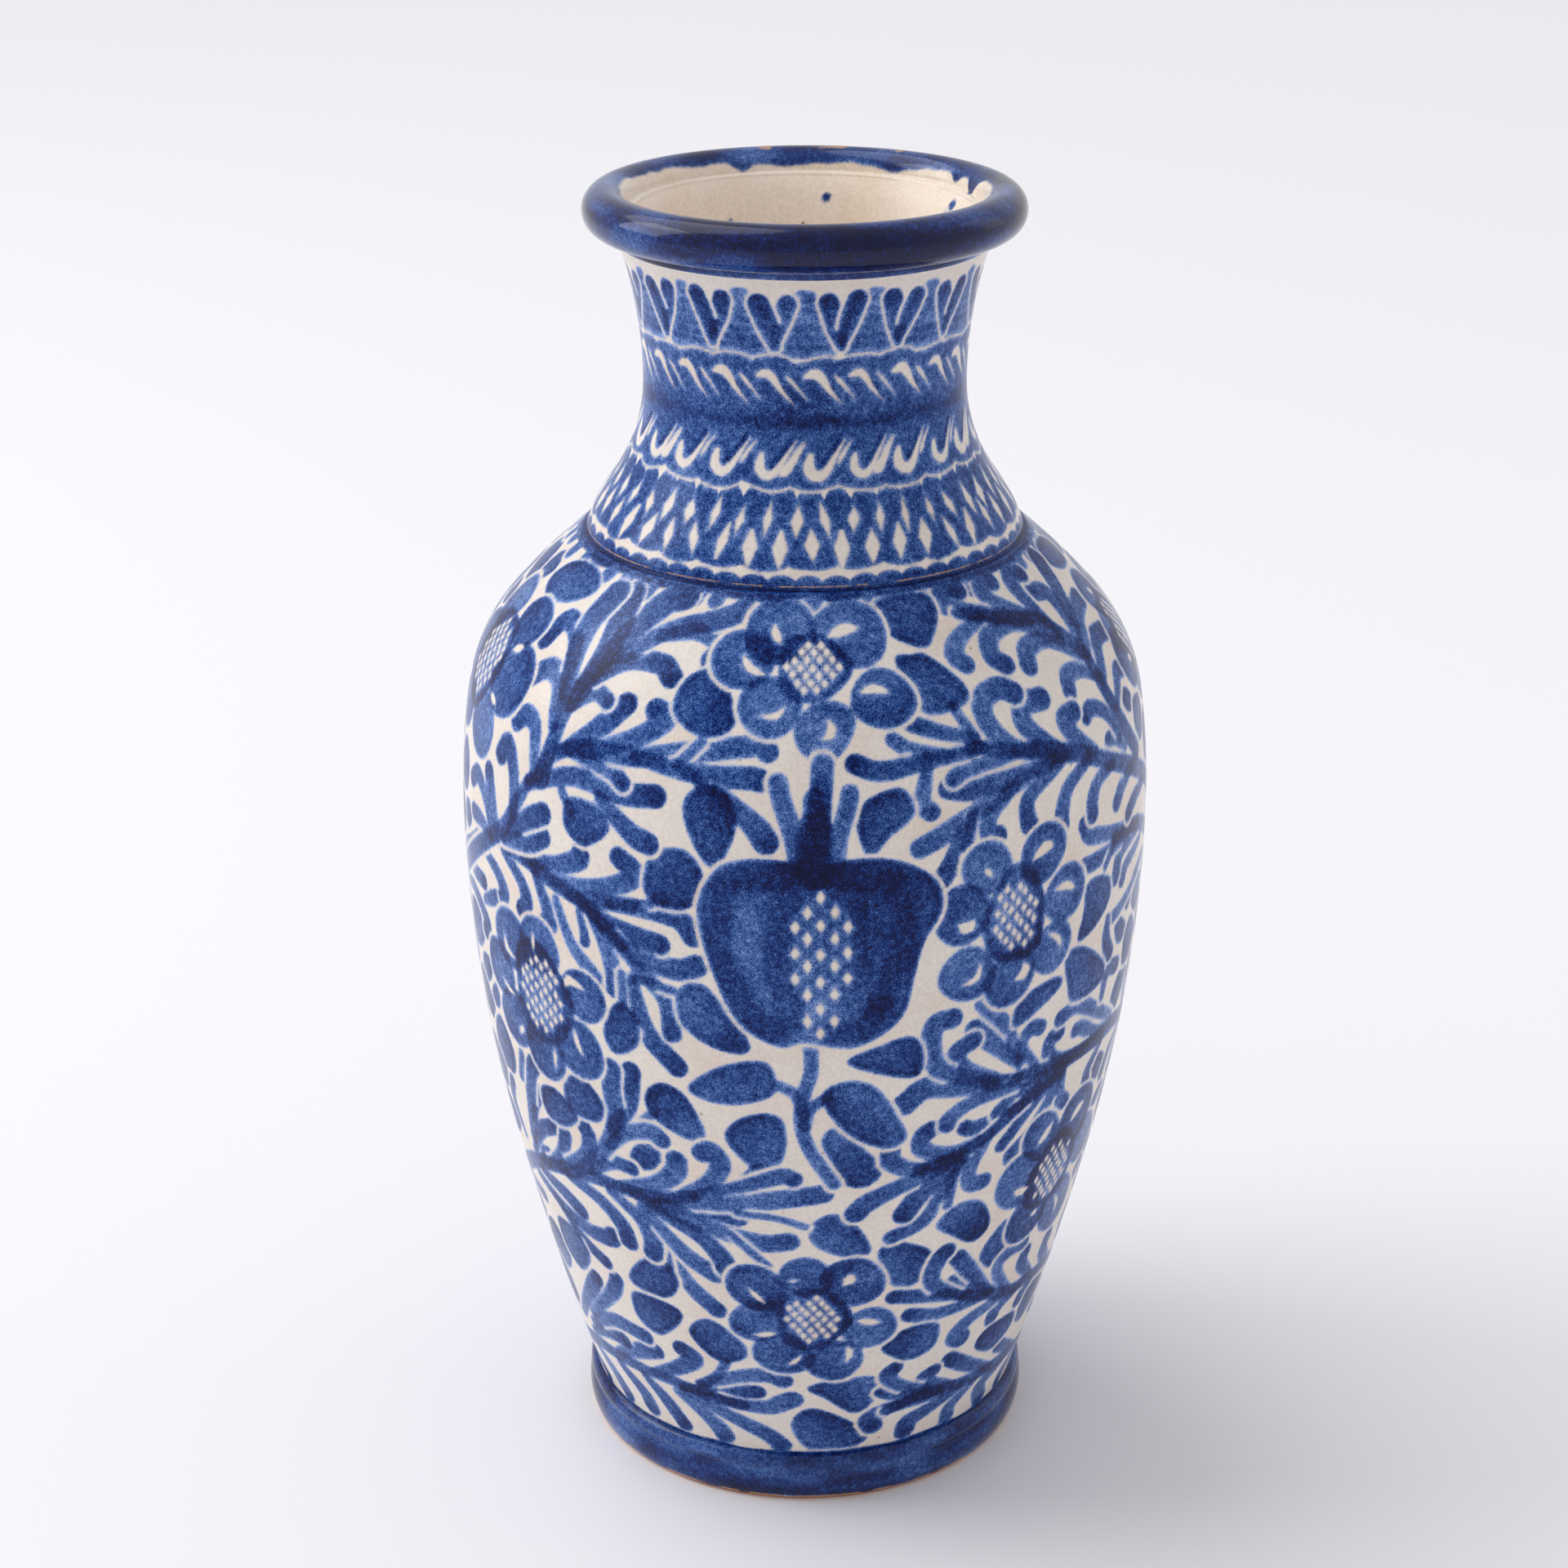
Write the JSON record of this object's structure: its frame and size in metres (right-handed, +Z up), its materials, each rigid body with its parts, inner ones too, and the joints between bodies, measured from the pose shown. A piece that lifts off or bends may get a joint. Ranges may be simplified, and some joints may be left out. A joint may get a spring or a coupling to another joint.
{
  "type": "pottery vase",
  "caption": "Round-bellied glazed pottery vase with a flared neck, rolled lip and foot ring, painted all over with cobalt leaves, flowers and a fruit.",
  "frame": {"origin": "middle of the foot, on the surface the vase stands on", "axes": "+Z up the vase's axis, towards the mouth; +X to the right and -Y towards the viewer of the fruit"},
  "size_m": [0.21, 0.21, 0.4001],
  "materials": {
    "bare_clay": "fired earthenware, matt, buff to orange",
    "white_glaze": "glossy warm white tin glaze with hand-painted cobalt decoration",
    "blue_glaze": "glossy mottled cobalt glaze",
    "inner_glaze": "glossy cream glaze with fine specks"
  },
  "bodies": {
    "root": {"foot_ring": "bare_clay", "lower_body": "bare_clay", "upper_body": "bare_clay", "neck": "bare_clay", "lip_roll": "bare_clay", "foot_glaze": "blue_glaze", "body_glaze": "white_glaze", "neck_glaze": "white_glaze", "lip_glaze": "blue_glaze", "inner_glaze": "inner_glaze"}
  },
  "joints": []
}
